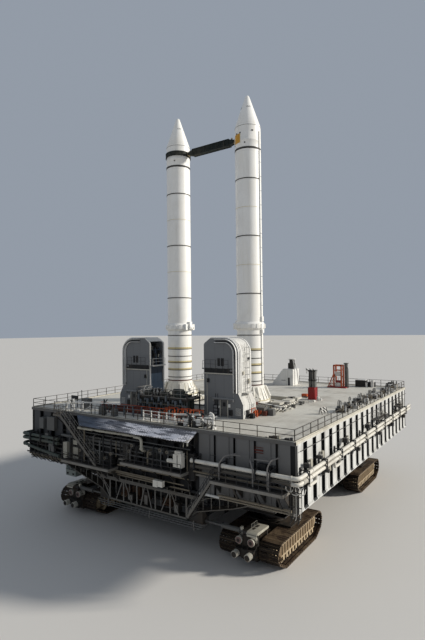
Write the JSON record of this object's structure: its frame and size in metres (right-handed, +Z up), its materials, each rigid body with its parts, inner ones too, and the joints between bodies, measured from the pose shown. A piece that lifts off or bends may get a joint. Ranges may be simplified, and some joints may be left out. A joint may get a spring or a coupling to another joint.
{
  "type": "twin booster rocket on its launch platform and crawler, 1:2 scale model",
  "caption": "Rocket stage of twin solid boosters joined by a cross beam, standing on a box-hull launch platform with service masts, carried by a steerable crawler on tracks.",
  "frame": {"origin": "on the ground, under the centre of the whole object's bounding box", "axes": "+X to the right seen from the porch side, +Y along the direction of travel away from the porch, +Z up"},
  "size_m": [21.4068, 25.35, 29.68],
  "materials": {
    "crawler_steel": "weathered satin",
    "truck_steel": "dusty matt",
    "track_steel": "rusted, polished by wear",
    "cylinder_steel": "satin",
    "cab_paint": "satin",
    "door_paint": "satin",
    "hull_paint": "weathered satin",
    "rail_paint": "satin",
    "pipe_paint": "satin",
    "canopy_sheet": "semi-gloss corrugated sheet",
    "porch_steel": "weathered satin",
    "mast_paint": "weathered satin",
    "support_paint": "scorched matt",
    "skirt_paint": "matt foam-covered",
    "nozzle_liner": "matt",
    "case_paint": "satin",
    "beam_paint": "satin",
    "signal_red": "satin",
    "cabinet_paint": "satin",
    "signal_orange": "satin",
    "hose_cover": "matt wrapped"
  },
  "bodies": {
    "base": {"crawler_chassis": "crawler_steel", "crawler_gallery_near": "crawler_steel", "crawler_gallery_far": "crawler_steel", "cab_near_left": "cab_paint", "cab_far_right": "cab_paint", "platform_hull_near": "hull_paint", "platform_hull_far": "hull_paint", "platform_hull_right": "hull_paint", "platform_hull_left": "hull_paint", "platform_hull_centre": "hull_paint", "deck_railing": "rail_paint", "service_pipes": "pipe_paint", "porch_canopy": "canopy_sheet", "porch_gallery": "porch_steel", "porch_stair": "porch_steel", "cable_rack": "porch_steel", "hole_work_frame": "porch_steel", "mast_right": "mast_paint", "mast_left": "mast_paint", "booster_support_right": "support_paint", "booster_support_left": "support_paint", "aft_skirt_right": "skirt_paint", "nozzle_right": "nozzle_liner", "motor_case_right": "case_paint", "forward_skirt_right": "case_paint", "nose_cone_right": "case_paint", "aft_skirt_left": "skirt_paint", "nozzle_left": "nozzle_liner", "motor_case_left": "case_paint", "forward_skirt_left": "case_paint", "nose_cone_left": "case_paint", "cross_beam": "beam_paint", "beam_collar": "beam_paint", "red_stand": "signal_red", "sloped_cabinet": "cabinet_paint", "orange_frame": "signal_orange", "guard_wall": "signal_orange", "deck_hoses": "hose_cover"},
    "truck_near_right": {"truck_near_right": "truck_steel", "track_near_right_outer": "track_steel", "track_near_right_inner": "track_steel"},
    "cylinder_near_right": {"steering_cylinder_near_right": "cylinder_steel"},
    "truck_near_left": {"truck_near_left": "truck_steel", "track_near_left_outer": "track_steel", "track_near_left_inner": "track_steel"},
    "cylinder_near_left": {"steering_cylinder_near_left": "cylinder_steel"},
    "truck_far_right": {"truck_far_right": "truck_steel", "track_far_right_outer": "track_steel", "track_far_right_inner": "track_steel"},
    "cylinder_far_right": {"steering_cylinder_far_right": "cylinder_steel"},
    "truck_far_left": {"truck_far_left": "truck_steel", "track_far_left_outer": "track_steel", "track_far_left_inner": "track_steel"},
    "cylinder_far_left": {"steering_cylinder_far_left": "cylinder_steel"},
    "cab_door_near_left": {"cab_door_near_left": "door_paint"},
    "cab_door_far_right": {"cab_door_far_right": "door_paint"},
    "mast_door_right": {"mast_door_right": "door_paint"},
    "mast_door_left": {"mast_door_left": "door_paint"}
  },
  "joints": [
    {"name": "steer_near_right", "type": "hinge", "parent": "base", "child": "truck_near_right", "pos_m": [6.85, -7.375, 1.73], "axis": [0, 0, 1], "range_deg": [-6, 6]},
    {"name": "cylinder_slide_near_right", "type": "slide", "parent": "base", "child": "cylinder_near_right", "axis": [1, 0, 0], "range_m": [-0.3247, 0.3247]},
    {"name": "steer_near_left", "type": "hinge", "parent": "base", "child": "truck_near_left", "pos_m": [-6.85, -7.375, 1.73], "axis": [0, 0, 1], "range_deg": [-6, 6]},
    {"name": "cylinder_slide_near_left", "type": "slide", "parent": "base", "child": "cylinder_near_left", "axis": [1, 0, 0], "range_m": [-0.3247, 0.3247]},
    {"name": "steer_far_right", "type": "hinge", "parent": "base", "child": "truck_far_right", "pos_m": [6.85, 6.325, 1.73], "axis": [0, 0, 1], "range_deg": [-6, 6]},
    {"name": "cylinder_slide_far_right", "type": "slide", "parent": "base", "child": "cylinder_far_right", "axis": [1, 0, 0], "range_m": [-0.3247, 0.3247]},
    {"name": "steer_far_left", "type": "hinge", "parent": "base", "child": "truck_far_left", "pos_m": [-6.85, 6.325, 1.73], "axis": [0, 0, 1], "range_deg": [-6, 6]},
    {"name": "cylinder_slide_far_left", "type": "slide", "parent": "base", "child": "cylinder_far_left", "axis": [1, 0, 0], "range_m": [-0.3247, 0.3247]},
    {"name": "cab_door_near_left_hinge", "type": "hinge", "parent": "base", "child": "cab_door_near_left", "pos_m": [-7.305, -9.36, 2.485], "axis": [0, 0, 1], "range_deg": [0, 100]},
    {"name": "cab_door_far_right_hinge", "type": "hinge", "parent": "base", "child": "cab_door_far_right", "pos_m": [7.305, 8.31, 2.485], "axis": [0, 0, 1], "range_deg": [0, 100]},
    {"name": "mast_door_right_hinge", "type": "hinge", "parent": "base", "child": "mast_door_right", "pos_m": [4.06, -7.94, 7.4055], "axis": [0, 0, 1], "range_deg": [0, 110]},
    {"name": "mast_door_left_hinge", "type": "hinge", "parent": "base", "child": "mast_door_left", "pos_m": [-4.06, -7.94, 7.4055], "axis": [0, 0, -1], "range_deg": [0, 110]}
  ],
  "couplings": [
    {"joint": "cylinder_slide_near_right", "follows": "steer_near_right", "m_per_rad": 3.1},
    {"joint": "cylinder_slide_near_left", "follows": "steer_near_left", "m_per_rad": 3.1},
    {"joint": "cylinder_slide_far_right", "follows": "steer_far_right", "m_per_rad": -3.1},
    {"joint": "cylinder_slide_far_left", "follows": "steer_far_left", "m_per_rad": -3.1}
  ]
}
